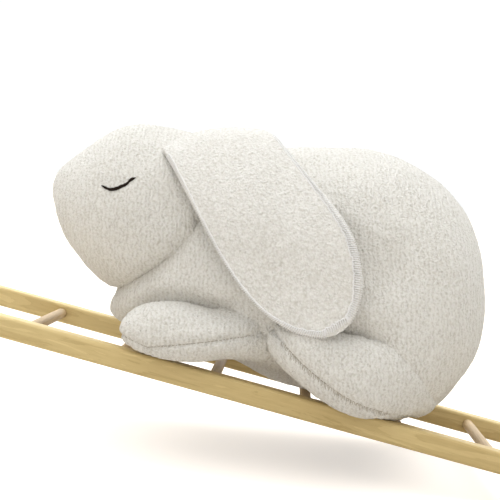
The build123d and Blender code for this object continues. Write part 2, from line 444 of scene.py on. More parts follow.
def clear_of_ladder(co):
    """Keeps plush points above the rails and the rungs."""
    aside = np.abs(co[:, 1])
    level = np.where(aside > OVER_RAIL_FROM, ABOVE_RAIL, ABOVE_RUNG)
    level = np.where(aside > OVER_RAIL_TO, BESIDE_RAIL, level)
    co[:, 2] = np.maximum(co[:, 2], level)
    return co


def furrow(gap, along, opts):
    """How far a seam moves each point along its normal; gap is the distance from the seam line."""
    groove = -opts.seam_depth * np.exp(-((gap / opts.seam_width) ** 2))
    rolls = ROLL_SHARE * opts.seam_depth * np.exp(-(((np.abs(gap) - ROLL_PLACE) / ROLL_WIDTH) ** 2))
    jitter = 0.35 * np.sin(along * 310.0) + 0.3 * np.sin(along * 777.0)
    gathers = np.sin(2 * math.pi * along / opts.pucker_pitch + 2.2 * jitter)
    gathers *= opts.pucker * np.exp(-(np.abs(gap) / GATHER_FADE))
    return groove + rolls + gathers


def tree_of(nodes):
    """Search tree over the outer skins of some nodes."""
    points = []
    faces = []
    for node in nodes:
        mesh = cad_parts[node].data
        first = len(points)
        points += [v.co.copy() for v in mesh.vertices]
        faces += [tuple(first + i for i in poly.vertices) for poly in mesh.polygons]
    return BVHTree.FromPolygons(points, faces)


def fold(co, nodes, reach, height):
    """How far the cloth moves near its neighbours: in at a fold, out where it runs into them."""
    tree = tree_of(nodes)
    rise = np.zeros(len(co))
    for i in np.nonzero(reach > LEAST_REACH)[0]:
        near = tree.find_nearest(co[i], reach[i])
        if near[0] is not None:
            rise[i] = height[i] * (1 - near[3] / reach[i]) ** 2
    return rise


def bury(obj, node, depth, near):
    """Pushes the part of a piece that lies on a neighbour into it, so that no rim shows."""
    tree = tree_of([node])
    co = points_of(obj)
    for i, place in enumerate(co):
        hit = tree.find_nearest(place, near)
        if hit[0] is not None:
            co[i] -= np.array(hit[1]) * (depth * min(1.0, 2 - 2 * hit[3] / near))
    set_points(obj, co)


def ramp(x, start, end):
    """Smooth step from 0 at start to 1 at end."""
    t = np.clip((x - start) / (end - start), 0, 1)
    return t * t * (3 - 2 * t)


def limb_fold(co, limb, body):
    """Reach and height of the cloth's rise between neighbours: a fold in front, a run-out behind a limb."""
    x, z = co[:, 0], co[:, 2]
    if limb == "ear":
        below_crown = 1 - ramp(z, 0.098, 0.115)
        beside_flap = np.maximum(ramp(x, 0.0, 0.015), ramp(z, 0.045, 0.060))
        return EAR_FOLD[0] * (below_crown * beside_flap), np.full(len(co), EAR_FOLD[1])
    if limb == "neck":
        below_nape = 1 - ramp(z, 0.064, 0.082)
        return NECK_FOLD[0] * below_nape, np.full(len(co), NECK_FOLD[1])
    if limb == "paw":
        out = ramp(np.where(co[:, 1] > 0, x + RIGHT_PAW_LEAD, x), -0.036, -0.012)
        front, dip = PAW_FOLD
    else:
        out = ramp(x, 0.040, 0.068) if body else ramp(x, 0.026, 0.056)
        front, dip = LEG_FOLD[0], LEG_FOLD[1] * ramp(x, 0.008, 0.026)
    if not body:
        front, dip = LIMB_EDGE, 0.0
    reach = front * (1 - out) + RUN_OUT * out
    height = -dip * (1 - out) + RUN_OUT_RISE * reach * out
    low = 1 - ramp(z, 0.060, 0.078)
    return reach * low, height


def dent(co, x, z, size, depth):
    """Soft hollow, or hump where depth is negative, on both sides of the rabbit."""
    return -depth * np.exp(-(((co[:, 0] - x) / size) ** 2) - ((co[:, 2] - z) / size) ** 2)


def stuffed(name, nodes, voxel, opts, seams=(), neighbours=(), hollows=(), smooth=6, seed=0.0):
    """Stuffed piece: a node's outer skin, remeshed, filled, subdivided and given seams and nap."""
    obj = make_object(name, outer_shell(nodes[0]))
    apply_modifier(obj, "remesh", "REMESH", mode="VOXEL", voxel_size=voxel)
    if name != "body":
        bury(obj, "body_cover", SEWN_DEPTH, SEWN_NEAR)
    even(obj, smooth)
    set_points(obj, points_of(obj) - normals_of(obj) * opts.travel)
    puff(obj, opts.pressure, opts.travel)
    apply_modifier(obj, "finer", "SUBSURF", levels=2, render_levels=2)
    co = points_of(obj)
    no = normals_of(obj)
    shift = np.full(len(co), opts.swell)
    shift += opts.lump * noise_at(co, LUMP_SIZE, seed)
    shift += SMALL_LUMP_SHARE * opts.lump * noise_at(co, SMALL_LUMP_SIZE, seed + 7.0)
    for limb, others in neighbours:
        shift += fold(co, others, *limb_fold(co, limb, name == "body"))
    for hollow in hollows:
        shift += dent(co, *hollow)
    for seam in seams:
        gap, along = seam(co, no)
        shift += furrow(gap, along, opts)
    shift += opts.nap * noise_at(co, NAP_SIZE, seed + 3.0)
    set_points(obj, clear_of_ladder(co + no * shift[:, None]))
    activate(obj)
    bpy.ops.object.shade_smooth()
    dress(obj, plush_material())
    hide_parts(*nodes)
    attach(obj, "rabbit")
    return obj


def paw_seam(lowest):
    """Sole seam of a front paw in side view: its height at x and its steepness."""

    def line(x):
        rise = x - lowest
        return PAW_SEAM_LEVEL + PAW_SEAM_BEHIND * np.maximum(0, rise) + PAW_SEAM_AHEAD * np.maximum(0, -rise)

    def slope(x):
        return np.where(x > lowest, PAW_SEAM_BEHIND, -PAW_SEAM_AHEAD)

    return line, slope


def leg_seam():
    """Sole seam of a hind leg in side view: its height at x and its steepness."""

    def line(x):
        return LEG_SEAM_LEVEL + LEG_SEAM_CURVE * np.maximum(0, LEG_SEAM_X - x) ** 2

    def slope(x):
        return -2 * LEG_SEAM_CURVE * np.maximum(0, LEG_SEAM_X - x)

    return line, slope


def side_seam(line, slope):
    """Finds the distance from a seam in side view, and the run along it, at each point."""

    def find(co, no):
        x = co[:, 0]
        steep = slope(x)
        gap = (co[:, 2] - line(x)) / np.sqrt(1 + steep * steep)
        turn = np.clip((np.abs(no[:, 0]) - 0.5) / 0.3, 0, 1)
        along = x * np.sqrt(1 + steep * steep) * (1 - turn) + co[:, 1] * turn
        return gap, along

    return find


def tube(bm, path, radius, sides=6):
    """Round thread along a path, closed at both ends."""
    rings = []
    count = len(path)
    up = None
    for i, p in enumerate(path):
        ahead = (path[min(i + 1, count - 1)] - path[max(i - 1, 0)]).normalized()
        if up is None:
            up = ahead.orthogonal().normalized()
        up = (up - ahead * up.dot(ahead)).normalized()
        side = ahead.cross(up)
        r = radius * (THREAD_END if i in (0, count - 1) else 1.0)
        ring = []
        for k in range(sides):
            a = 2 * math.pi * k / sides
            ring.append(bm.verts.new(p + (up * math.cos(a) + side * math.sin(a)) * r))
        rings.append(ring)
    for a, b in zip(rings, rings[1:]):
        for k in range(sides):
            bm.faces.new((a[k], a[(k + 1) % sides], b[(k + 1) % sides], b[k]))
    bm.faces.new(list(reversed(rings[0])))
    bm.faces.new(rings[-1])


def thread_object(name, paths, radius, sides=6):
    """One mesh of many threads."""
    bm = bmesh.new()
    for path in paths:
        tube(bm, path, radius, sides)
    bmesh.ops.recalc_face_normals(bm, faces=bm.faces)
    mesh = bpy.data.meshes.new(name)
    bm.to_mesh(mesh)
    bm.free()
    obj = make_object(name, mesh)
    activate(obj)
    bpy.ops.object.shade_smooth()
    return obj


def seam_threads(name, obj, side, seam, ends, pitch, length, radius, across):
    """Short stitches along a side seam, laid on the cloth: across the seam or along it."""
    tree = BVHTree.FromObject(obj, bpy.context.evaluated_depsgraph_get())
    line, slope = seam
    middle_share = 0.9 if across else 0.5
    paths = []
    x, end = ends
    while x < end:
        steep = float(slope(np.array(x)))
        ahead = Vector((1, 0, steep)).normalized()
        way = ahead
        if across:
            slant = 0.7 + 0.8 * noise.noise((x * 700, side * 2.0, 0.8))
            way = (Vector((-ahead.z, 0, ahead.x)) - ahead * slant).normalized()
        middle = Vector((x, side * LAID_FROM, float(line(np.array(x)))))
        reach = length * (1 + 0.9 * noise.noise((x * 900, side * 2.0, 0.3)))
        path = []
        for k in range(STITCH_POINTS):
            share = k / (STITCH_POINTS - 1)
            spot = middle + way * (reach * (share - middle_share))
            hit, normal = tree.ray_cast(spot, Vector((0, -side, 0)))[:2]
            if hit is not None:
                path.append(hit + normal * (STITCH_RISE - STITCH_DIP * (2 * share - 1) ** 4))
        if len(path) == STITCH_POINTS:
            paths.append(path)
        x += pitch * ahead.x
    threads = thread_object(name, paths, radius, sides=5)
    dress(threads, seam_material())
    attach(threads, "rabbit")


# Material helpers


def add(tree, kind, **settings):
    """New node with its settings."""
    node = tree.nodes.new(kind)
    for key, value in settings.items():
        setattr(node, key, value)
    return node


def feed(tree, value, socket):
    """Links a socket, or sets it where the value is a constant."""
    if isinstance(value, bpy.types.NodeSocket):
        tree.links.new(value, socket)
    else:
        socket.default_value = value


def set_inputs(node, values):
    """Sets sockets by their names."""
    for key, value in values.items():
        node.inputs[key].default_value = value


def math_node(tree, operation, *values):
    """Math node with links or constants."""
    node = add(tree, "ShaderNodeMath", operation=operation)
    for value, socket in zip(values, node.inputs):
        feed(tree, value, socket)
    return node.outputs[0]


def noise_node(tree, place, scale, detail, roughness=0.5, distortion=0.0):
    """Noise from 0 to 1; scale is a number or a link."""
    node = add(tree, "ShaderNodeTexNoise")
    feed(tree, place, node.inputs["Vector"])
    feed(tree, scale, node.inputs["Scale"])
    set_inputs(node, {"Detail": detail, "Roughness": roughness, "Distortion": distortion})
    return node.outputs[0]


def range_node(tree, value, start, end, low=0.0, high=1.0):
    """Maps a value from one range to another and holds it there."""
    node = add(tree, "ShaderNodeMapRange")
    feed(tree, value, node.inputs["Value"])
    set_inputs(node, {"From Min": start, "From Max": end, "To Min": low, "To Max": high})
    return node.outputs[0]


def colour_node(tree, share, low, high):
    """Colour between two others."""
    node = add(tree, "ShaderNodeMix", data_type="RGBA")
    feed(tree, share, node.inputs[0])
    node.inputs[6].default_value = low
    node.inputs[7].default_value = high
    return node.outputs[2]


def bump_node(tree, height, strength, distance):
    """Fine relief as a normal."""
    node = add(tree, "ShaderNodeBump")
    feed(tree, height, node.inputs["Height"])
    set_inputs(node, {"Strength": strength, "Distance": distance})
    return node.outputs[0]


def new_material(name):
    """Empty node material with a Principled shader, and the object's own places."""
    mat = bpy.data.materials.new(name)
    mat.use_nodes = True
    tree = mat.node_tree
    tree.nodes.clear()
    out = add(tree, "ShaderNodeOutputMaterial")
    shader = add(tree, "ShaderNodeBsdfPrincipled")
    feed(tree, shader.outputs[0], out.inputs[0])
    place = add(tree, "ShaderNodeTexCoord").outputs["Object"]
    return mat, tree, shader, place


def nap_group():
    """Node group: height of looped terry with knitted ribs, and a depth mask for painted shade between the
    loops, from object places.
    """
    name = "terry_nap"
    if name in bpy.data.node_groups:
        return bpy.data.node_groups[name]
    tree = bpy.data.node_groups.new(name, "ShaderNodeTree")
    face = tree.interface
    face.new_socket("Place", in_out="INPUT", socket_type="NodeSocketVector")
    for key in ("Loop size", "Wale", "Ribs"):
        face.new_socket(key, in_out="INPUT", socket_type="NodeSocketFloat")
    for key in ("Height", "Depth"):
        face.new_socket(key, in_out="OUTPUT", socket_type="NodeSocketFloat")
    given = add(tree, "NodeGroupInput")
    made = add(tree, "NodeGroupOutput")
    place = given.outputs["Place"]
    density = math_node(tree, "DIVIDE", 1.0, given.outputs["Loop size"])
    loops = add(tree, "ShaderNodeTexVoronoi", feature="SMOOTH_F1")
    feed(tree, place, loops.inputs["Vector"])
    feed(tree, density, loops.inputs["Scale"])
    bumps = math_node(tree, "SUBTRACT", 1.0, loops.outputs["Distance"])
    fuzz = noise_node(tree, place, math_node(tree, "MULTIPLY", density, 0.55), 4.0, roughness=0.65)
    rough = math_node(tree, "MULTIPLY", fuzz, 1.5)
    across = add(tree, "ShaderNodeVectorMath", operation="DOT_PRODUCT")
    across.inputs[1].default_value = RIB_DIRECTION
    feed(tree, place, across.inputs[0])
    phase = math_node(tree, "DIVIDE", across.outputs["Value"], given.outputs["Wale"])
    wander = math_node(tree, "MULTIPLY", noise_node(tree, place, 260.0, 2.0), 2.2)
    turns = math_node(tree, "MULTIPLY", math_node(tree, "ADD", phase, wander), RIB_TURN)
    wave = math_node(tree, "MULTIPLY_ADD", math_node(tree, "SINE", turns), 0.5, 0.5)
    ribs = math_node(tree, "MULTIPLY", wave, given.outputs["Ribs"])
    height = math_node(tree, "ADD", math_node(tree, "ADD", bumps, rough), ribs)
    feed(tree, height, made.inputs["Height"])
    # Depth is 0 deep between the loops, where the painted shade goes, and 1 on their tops
    feed(tree, range_node(tree, height, 0.80, 1.70), made.inputs["Depth"])
    return tree


def terry_material(name, cloth, shade, loop_size, wale, ribs, relief):
    """Looped off-white cloth with painted shade between its loops, and a soft sheen."""
    mat, tree, shader, place = new_material(name)
    nap = add(tree, "ShaderNodeGroup", node_tree=nap_group())
    feed(tree, place, nap.inputs["Place"])
    set_inputs(nap, {"Loop size": loop_size, "Wale": wale, "Ribs": ribs})
    blotch = range_node(tree, noise_node(tree, place, 38.0, 3.0), 0.3, 0.7, low=-0.10, high=0.10)
    share = math_node(tree, "ADD", nap.outputs["Depth"], blotch)
    # Painted shade: the shade colour fills the depths between the loops; the blotches are a random tone of
    # the cloth
    feed(tree, colour_node(tree, share, shade, cloth), shader.inputs["Base Color"])
    feed(tree, bump_node(tree, nap.outputs["Height"], 0.8, relief), shader.inputs["Normal"])
    set_inputs(shader, {"Roughness": 1.0, "Specular IOR Level": 0.1})
    set_inputs(shader, {"Sheen Weight": 0.25, "Sheen Roughness": 0.6})
    return mat


def thread_material(name, colour, roughness, sheen, gloss):
    """Twisted thread with fine strands."""
    mat, tree, shader, place = new_material(name)
    strands = noise_node(tree, place, 2400.0, 2.0)
    dark = tuple(0.85 * c for c in colour[:3]) + (1.0,)
    feed(tree, colour_node(tree, strands, dark, colour), shader.inputs["Base Color"])
    feed(tree, bump_node(tree, strands, 0.5, 0.0002), shader.inputs["Normal"])
    set_inputs(shader, {"Roughness": roughness, "Sheen Weight": sheen, "Specular IOR Level": gloss})
    return mat


def wood_material(name, light, dark, stretch, tilt, painted_shade_drift):
    """Sanded wood with long grain; stretch squeezes the grain along each axis, and a painted shade darkens
    it along x.
    """
    mat, tree, shader, place = new_material(name)
    turn = add(tree, "ShaderNodeMapping")
    set_inputs(turn, {"Rotation": tilt, "Scale": stretch})
    feed(tree, place, turn.inputs["Vector"])
    bands = noise_node(tree, turn.outputs[0], 1.0, 5.0, roughness=0.6, distortion=0.9)
    fine = noise_node(tree, turn.outputs[0], 4.5, 3.0)
    grain = math_node(tree, "MULTIPLY", range_node(tree, bands, 0.32, 0.68), 0.62)
    pale = math_node(tree, "ADD", grain, math_node(tree, "MULTIPLY", fine, 0.55))
    rings = math_node(tree, "FRACT", math_node(tree, "MULTIPLY", bands, 7.0))
    streak = math_node(tree, "MULTIPLY", math_node(tree, "POWER", rings, 2.5), 0.30)
    streaked = math_node(tree, "SUBTRACT", pale, streak)
    split = add(tree, "ShaderNodeSeparateXYZ")
    feed(tree, place, split.inputs[0])
    # Painted shade: the wood is made darker towards +x, for the shade under the rabbit's rump
    darker = math_node(tree, "MULTIPLY", split.outputs["X"], painted_shade_drift)
    share = math_node(tree, "SUBTRACT", streaked, darker)
    feed(tree, colour_node(tree, share, dark, light), shader.inputs["Base Color"])
    feed(tree, bump_node(tree, fine, 0.25, 0.0003), shader.inputs["Normal"])
    set_inputs(shader, {"Roughness": 0.55, "Specular IOR Level": 0.35})
    return mat


def dress(obj, mat):
    """Gives an object one material."""
    obj.data.materials.clear()
    obj.data.materials.append(mat)


def plush_material():
    """Terry of the body, head, paws and legs."""
    name = "plush_terry"
    if name in bpy.data.materials:
        return bpy.data.materials[name]
    opts = bpy.context.scene.rabbit_plush
    colours = (tuple(opts.cloth), tuple(opts.shade))
    return terry_material(name, *colours, loop_size=0.0009, wale=opts.wale, ribs=0.36, relief=0.00085)


def seam_material():
    """Thread of the sole seams, darker than the cloth, partly as painted shade between the gathers beside
    them.
    """
    name = "seam_thread"
    if name in bpy.data.materials:
        return bpy.data.materials[name]
    colour = tuple(bpy.context.scene.rabbit_plush.seam_thread)
    return thread_material(name, colour, roughness=0.9, sheen=0.03, gloss=0.5)


# Operators of the wood and the stuffed pieces


class RABBIT_OT_wood(bpy.types.Operator):
    """Grain on the rails and rungs"""

    bl_idname = "rabbit.wood"
    bl_label = "Ladder Wood"

    def execute(self, context):
        opts = context.scene.rabbit_wood
        colours = (tuple(opts.rail_light), tuple(opts.rail_dark))
        # The rails get painted shade that deepens towards +x, under the rabbit's rump; the rungs get none
        rail = wood_material("rail_grain", *colours, stretch=(14, 160, 160), tilt=(0, 0.05, 0.03), painted_shade_drift=1.4)
        colours = (tuple(opts.rung_light), tuple(opts.rung_dark))
        rung = wood_material("rung_grain", *colours, stretch=(260, 16, 260), tilt=(0.03, 0, 0), painted_shade_drift=0.0)
        for name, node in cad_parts.items():
            if name.endswith("_rail"):
                dress(node, rail)
            if name.startswith("rung_"):
                dress(node, rung)
        return {"FINISHED"}


class RABBIT_OT_body(bpy.types.Operator):
    """Stuffed body and head"""

    bl_idname = "rabbit.body"
    bl_label = "Body and Head"

    def execute(self, context):
        opts = context.scene.rabbit_plush
        near = [
            ("paw", ["left_front_paw_cover", "right_front_paw_cover"]),
            ("leg", ["left_hind_leg_cover", "right_hind_leg_cover"]),
            ("ear", ["left_ear_lining", "right_ear_lining"]),
            ("neck", ["head_cover"]),
        ]
        nodes = ("body_cover", "body_filling")
        stuffed("body", nodes, opts.voxel, opts, neighbours=near, hollows=BODY_HOLLOWS, seed=1.0)
        nodes = ("head_cover", "head_filling")
        stuffed("head", nodes, opts.voxel, opts, hollows=HEAD_HOLLOWS, seed=5.0)
        return {"FINISHED"}


class RABBIT_OT_paws(bpy.types.Operator):
    """Stuffed front paws with a sole seam"""

    bl_idname = "rabbit.paws"
    bl_label = "Front Paws"

    def execute(self, context):
        opts = context.scene.rabbit_plush
        for way, side in SIDES:
            lowest = PAW_SEAM_X - (RIGHT_PAW_LEAD if way == RIGHT else 0.0)
            seam = paw_seam(lowest)
            name = side + "_front_paw"
            nodes = (name + "_cover", name + "_filling")
            near = [("paw", ["body_cover"])]
            paw = stuffed(name, nodes, opts.fine_voxel, opts, [side_seam(*seam)], near, smooth=4, seed=11.0)
            ends = (lowest - 0.012, lowest + 0.050)
            size = {"pitch": 0.0018, "length": 0.0019, "radius": 0.00013}
            seam_threads(name + "_seam", paw, way, seam, ends, across=False, **size)
        return {"FINISHED"}


class RABBIT_OT_legs(bpy.types.Operator):
    """Stuffed hind legs with a sole seam"""

    bl_idname = "rabbit.legs"
    bl_label = "Hind Legs"

    def execute(self, context):
        opts = context.scene.rabbit_plush
        seam = leg_seam()
        for way, side in SIDES:
            name = side + "_hind_leg"
            nodes = (name + "_cover", name + "_filling")
            seams = [side_seam(*seam)]
            near = [("leg", ["body_cover"])]
            leg = stuffed(name, nodes, opts.fine_voxel, opts, seams, near, LEG_HOLLOWS, smooth=4, seed=17.0)
            # Short dark threads across the sole seam: partly stitches, partly painted shade between its
            # gathers
            size = {"pitch": 0.0011, "length": 0.0034, "radius": 0.00010}
            seam_threads(name + "_seam", leg, way, seam, (0.004, 0.066), across=True, **size)
            size = {"pitch": 0.0019, "length": 0.0020, "radius": 0.00015}
            seam_threads(name + "_stitch", leg, way, seam, (0.006, 0.062), across=False, **size)
        return {"FINISHED"}


# Shape of the ears


def ear_bed(x):
    """Half width, widest level and top of the bed that an ear lies on, from head to body."""
    u = (x - HEAD_BED[0]) / (BODY_BED[0] - HEAD_BED[0])
    gap = EAR_GAP + EAR_LOOSENESS * max(0.0, min(1.0, 3 * u))
    half, wide, top = [HEAD_BED[k] * (1 - u) + BODY_BED[k] * u for k in (1, 2, 3)]
    return half + gap, wide, top + gap


def ear_point(side, x, z):
    """Place on the bed and the outward direction there."""
    half, wide, top = ear_bed(x)
    rise = max(0.0, min(0.98, (z - wide) / (top - wide)))
    out = half * math.sqrt(1 - rise * rise) + EAR_FLARE * max(0.0, wide - z)
    normal = Vector((0, side * math.sqrt(1 - rise * rise) / half, rise / (top - wide)))
    return Vector((x, side * out, z)), normal.normalized()


def ear_root(step):
    """Place of the root seam in side view; step runs from -1 at the front to 1 at the back."""
    front, middle, back = EAR_ROOT_ANGLES
    angle = middle + (back - front) / 2 * step + ((back + front) / 2 - middle) * step * step
    x = EAR_ROOT_X + EAR_ROOT_HALF * step
    wide, top = ear_bed(x)[1:]
    return Vector((x, 0, wide + (top - wide) * math.sin(math.radians(angle))))


def ear_half_width(along, opts):
    """Half the ear's width from root to tip."""
    grow = EAR_ROOT_WIDTH + EAR_GAIN * math.sin(min(1.0, along / EAR_WIDEST) * math.pi / 2)
    if along > EAR_WIDEST:
        beyond = (along - EAR_WIDEST) / EAR_BEYOND
        grow *= (1 - beyond ** EAR_TIP_ROUND[0]) ** EAR_TIP_ROUND[1]
    return grow * opts.width / 2


def ear_place(side, along, step, opts):
    """Middle layer of an ear: along runs from root to tip, step from the front to the back edge."""
    root = ear_root(0.0)
    run = Vector((EAR_TIP[0], 0, EAR_TIP[1])) - root
    across = Vector((-run.z, 0, run.x)).normalized()
    straight = min(1.0, along / EAR_SPREAD)
    hung = root + run * along + across * (step * ear_half_width(along, opts) - EAR_ASIDE)
    seamed = ear_root(step) + run * along
    spot = seamed.lerp(hung, straight)
    place, normal = ear_point(side, spot.x, spot.z)
    sewn = max(0.0, 1 - along / EAR_ROOT_END)
    tip_drop = EAR_TIP_DROP * max(0.0, along - EAR_TIP_FROM) / EAR_TIP_RUN
    return place + normal * (EAR_LIFT - EAR_ROOT_DROP * sewn - tip_drop), normal


def ear_hinge(side):
    """Start and end of the stretch of cloth from an ear's hinge down towards its flap."""
    start = Vector((EAR_HINGE[0], side * EAR_HINGE[1], EAR_HINGE[2]))
    axis = Vector((EAR_AXIS[0], side * EAR_AXIS[1], EAR_AXIS[2]))
    down = ear_point(side, *EAR_BELOW_HINGE)[0] - start
    down -= axis * down.dot(axis)
    return start, start + down.normalized() * EAR_BEND


# Operators of the ears, the eyes and the stage


class RABBIT_OT_ears(bpy.types.Operator):
    """Ears of two layers with an overlocked edge"""

    bl_idname = "rabbit.ears"
    bl_label = "Ears"

    def execute(self, context):
        opts = context.scene.rabbit_ear
        colours = (tuple(opts.cloth), tuple(opts.shade))
        knit = {"loop_size": 0.0010, "wale": 0.0023, "ribs": 0.05, "relief": 0.00105}
        cloth = terry_material("ear_cloth", *colours, **knit)
        thread = thread_material("overlock_thread", tuple(opts.thread), roughness=0.8, sheen=0.35, gloss=0.5)
        for side, name in SIDES:
            ear = self.flap(side, name, opts)
            dress(ear, cloth)
            edge = self.overlock(side, name, opts)
            dress(edge, thread)
            start, end = ear_hinge(side)
            for piece in (ear, edge):
                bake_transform(piece)
            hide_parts(name + "_ear_outer", name + "_ear_lining")
            area = sum(face.area for face in ear.data.polygons) / 2
            cut = (opts.width, EAR_LENGTH)
            area = min(area, cut[0] * cut[1])
        return {"FINISHED"}

    def flap(self, side, name, opts):
        """The ear's cloth, thinner towards its edge."""
        rows = EAR_ROWS
        cols = EAR_COLUMNS
        bm = bmesh.new()
        faces = {1: [], -1: []}
        for i in range(rows + 1):
            t = i / rows
            along = EAR_EVEN * t / 0.5
            if t >= 0.5:
                along = EAR_EVEN + EAR_ROUND * math.sin((t - 0.5) * math.pi)
            half = ear_half_width(along, opts)
            for way in (1, -1):
                line = []
                for j in range(cols + 1):
                    step = math.sin((j / cols - 0.5) * math.pi)
                    place, normal = ear_place(side, along, step, opts)
                    rim = min(1.0, (1 - abs(step)) * half / EAR_RIM, (1 - along) * EAR_RUN / EAR_RIM)
                    rim = math.sqrt(max(0.0, 1 - (1 - rim) ** 2))
                    thick = opts.rim_thick + (opts.half_thick - opts.rim_thick) * rim
                    line.append(bm.verts.new(place + normal * (way * thick)))
                faces[way].append(line)
        for way in (1, -1):
            grid = faces[way]
            for i in range(rows):
                for j in range(cols):
                    bm.faces.new((grid[i][j], grid[i][j + 1], grid[i + 1][j + 1], grid[i + 1][j]))
        top, low = faces[1], faces[-1]
        for i in range(rows):
            bm.faces.new((top[i][0], top[i + 1][0], low[i + 1][0], low[i][0]))
            bm.faces.new((top[i][cols], low[i][cols], low[i + 1][cols], top[i + 1][cols]))
        for j in range(cols):
            bm.faces.new((top[0][j], low[0][j], low[0][j + 1], top[0][j + 1]))
            bm.faces.new((top[rows][j], top[rows][j + 1], low[rows][j + 1], low[rows][j]))
        bmesh.ops.remove_doubles(bm, verts=bm.verts, dist=2e-5)
        bmesh.ops.recalc_face_normals(bm, faces=bm.faces)
        mesh = bpy.data.meshes.new(name + "_ear")
        bm.to_mesh(mesh)
        bm.free()
        ear = make_object(name + "_ear", mesh)
        apply_modifier(ear, "finer", "SUBSURF", levels=1, render_levels=1)
        co = points_of(ear)
        no = normals_of(ear)
        shift = EAR_LUMP * noise_at(co, EAR_LUMP_SIZE, 31.0) + EAR_NAP * noise_at(co, EAR_NAP_SIZE, 4.0)
        set_points(ear, co + no * shift[:, None])
        activate(ear)
        bpy.ops.object.shade_smooth()
        return ear

    def overlock(self, side, name, opts):
        """Threads that wrap the ear's edge, and the line that ties their inner ends."""
        turns = [i / EDGE_MARKS * math.pi / 2 for i in range(EDGE_FIRST, EDGE_MARKS + 1)]
        front = [(-1.0, EDGE_END * math.sin(turn)) for turn in turns]
        back = [(1.0, along) for _, along in reversed(front)]
        spots = [ear_place(side, along, step, opts) for step, along in front + back]
        middle = ear_place(side, EAR_EVEN, 0.0, opts)[0]
        places, normals = self.spaced(spots, opts.pitch)
        high = opts.half_thick - THREAD_SINK
        thin = opts.rim_thick + THREAD_SINK
        levels = ((1.0, high), (0.6, high + THREAD_RISE), (0.2, thin + THREAD_RIM_RISE))
        paths = []
        tie = []
        for i in range(1, len(places) - 1):
            p, n = places[i], normals[i]
            ahead = (places[i + 1] - places[i - 1]).normalized()
            inward = n.cross(ahead).normalized()
            if inward.dot(middle - p) < 0:
                inward = -inward
            slant = ahead * (THREAD_SLANT * opts.pitch)
            wobble = THREAD_WOBBLE * opts.reach * noise.noise((i * 0.9, side * 3.0, 0.5))
            part = i / len(places)
            reach = (opts.reach + wobble) * (0.28 + 0.8 * ramp(part, 0.34, 0.52))
            reach *= 1 - 0.5 * ramp(part, 0.72, 0.95)
            over = [p + inward * (k * reach) + n * level + slant * k for k, level in levels]
            under = [p + inward * (k * reach) - n * level - slant * k for k, level in reversed(levels)]
            paths.append(over + [p - inward * THREAD_WRAP] + under)
            tie.append(p + inward * (reach - TIE_INSET) + n * (high - THREAD_SINK))
        paths.append(tie)
        return thread_object(name + "_ear_overlock", paths, opts.thread_radius, sides=5)

    def spaced(self, spots, pitch):
        """Even spacing along a line of places and directions."""
        run = [0.0]
        for a, b in zip(spots, spots[1:]):
            run.append(run[-1] + (b[0] - a[0]).length)
        count = max(2, int(run[-1] / pitch))
        places, normals = [], []
        k = 0
        for i in range(count + 1):
            want = run[-1] * i / count
            while k < len(run) - 2 and run[k + 1] < want:
                k += 1
            t = (want - run[k]) / max(1e-9, run[k + 1] - run[k])
            places.append(spots[k][0].lerp(spots[k + 1][0], t))
            normals.append(spots[k][1].lerp(spots[k + 1][1], t).normalized())
        return places, normals


class RABBIT_OT_eyes(bpy.types.Operator):
    """Closed eyes in back stitch"""

    bl_idname = "rabbit.eyes"
    bl_label = "Eyes"

    def execute(self, context):
        opts = context.scene.rabbit_eye
        thread = thread_material("eye_strands", tuple(opts.thread), roughness=0.7, sheen=0.0, gloss=0.1)
        head = bpy.data.objects["head"]
        tree = BVHTree.FromObject(head, context.evaluated_depsgraph_get())
        for side, word in SIDES:
            name = word + "_eye"
            paths = []
            for row, lift in enumerate(EYE_ROWS):
                for i in range(opts.count):
                    t = (i + 0.5 * row) / (opts.count - 0.5) * 2 - 1
                    if abs(t) > 1:
                        continue
                    stray = EYE_STRAY * noise.noise((5.3 * i + 0.7, 2.1 * row + 0.4, side * 1.3))
                    paths.append(self.stitch(tree, side, t, lift * (1 - 0.4 * t * t) + stray, opts))
            eye = thread_object(name, paths, opts.radius)
            dress(eye, thread)
            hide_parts(name)
            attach(eye, "rabbit")
        return {"FINISHED"}

    def stitch(self, tree, side, t, lift, opts):
        """One stitch that dips into the cloth at both ends."""
        path = []
        for k in range(STITCH_POINTS):
            s = k / (STITCH_POINTS - 1) - 0.5
            x = t * EYE_RUN + s * opts.stitch
            u = x / EYE_HALF
            z = -EYE_SAG * (1 - u * u) * (1 - EYE_LEAN * u) + EYE_RISE + lift
            px = EYE_MIDDLE[0] + x * math.cos(EYE_TILT) - z * math.sin(EYE_TILT)
            pz = EYE_MIDDLE[1] + x * math.sin(EYE_TILT) + z * math.cos(EYE_TILT)
            hit, normal = tree.ray_cast(Vector((px, side * LAID_FROM, pz)), Vector((0, -side, 0)))[:2]
            if hit is None:
                raise RuntimeError("the eye stitch misses the head")
            path.append(hit + normal * (EYE_STITCH_RISE - EYE_STITCH_DIP * s * s))
        return path


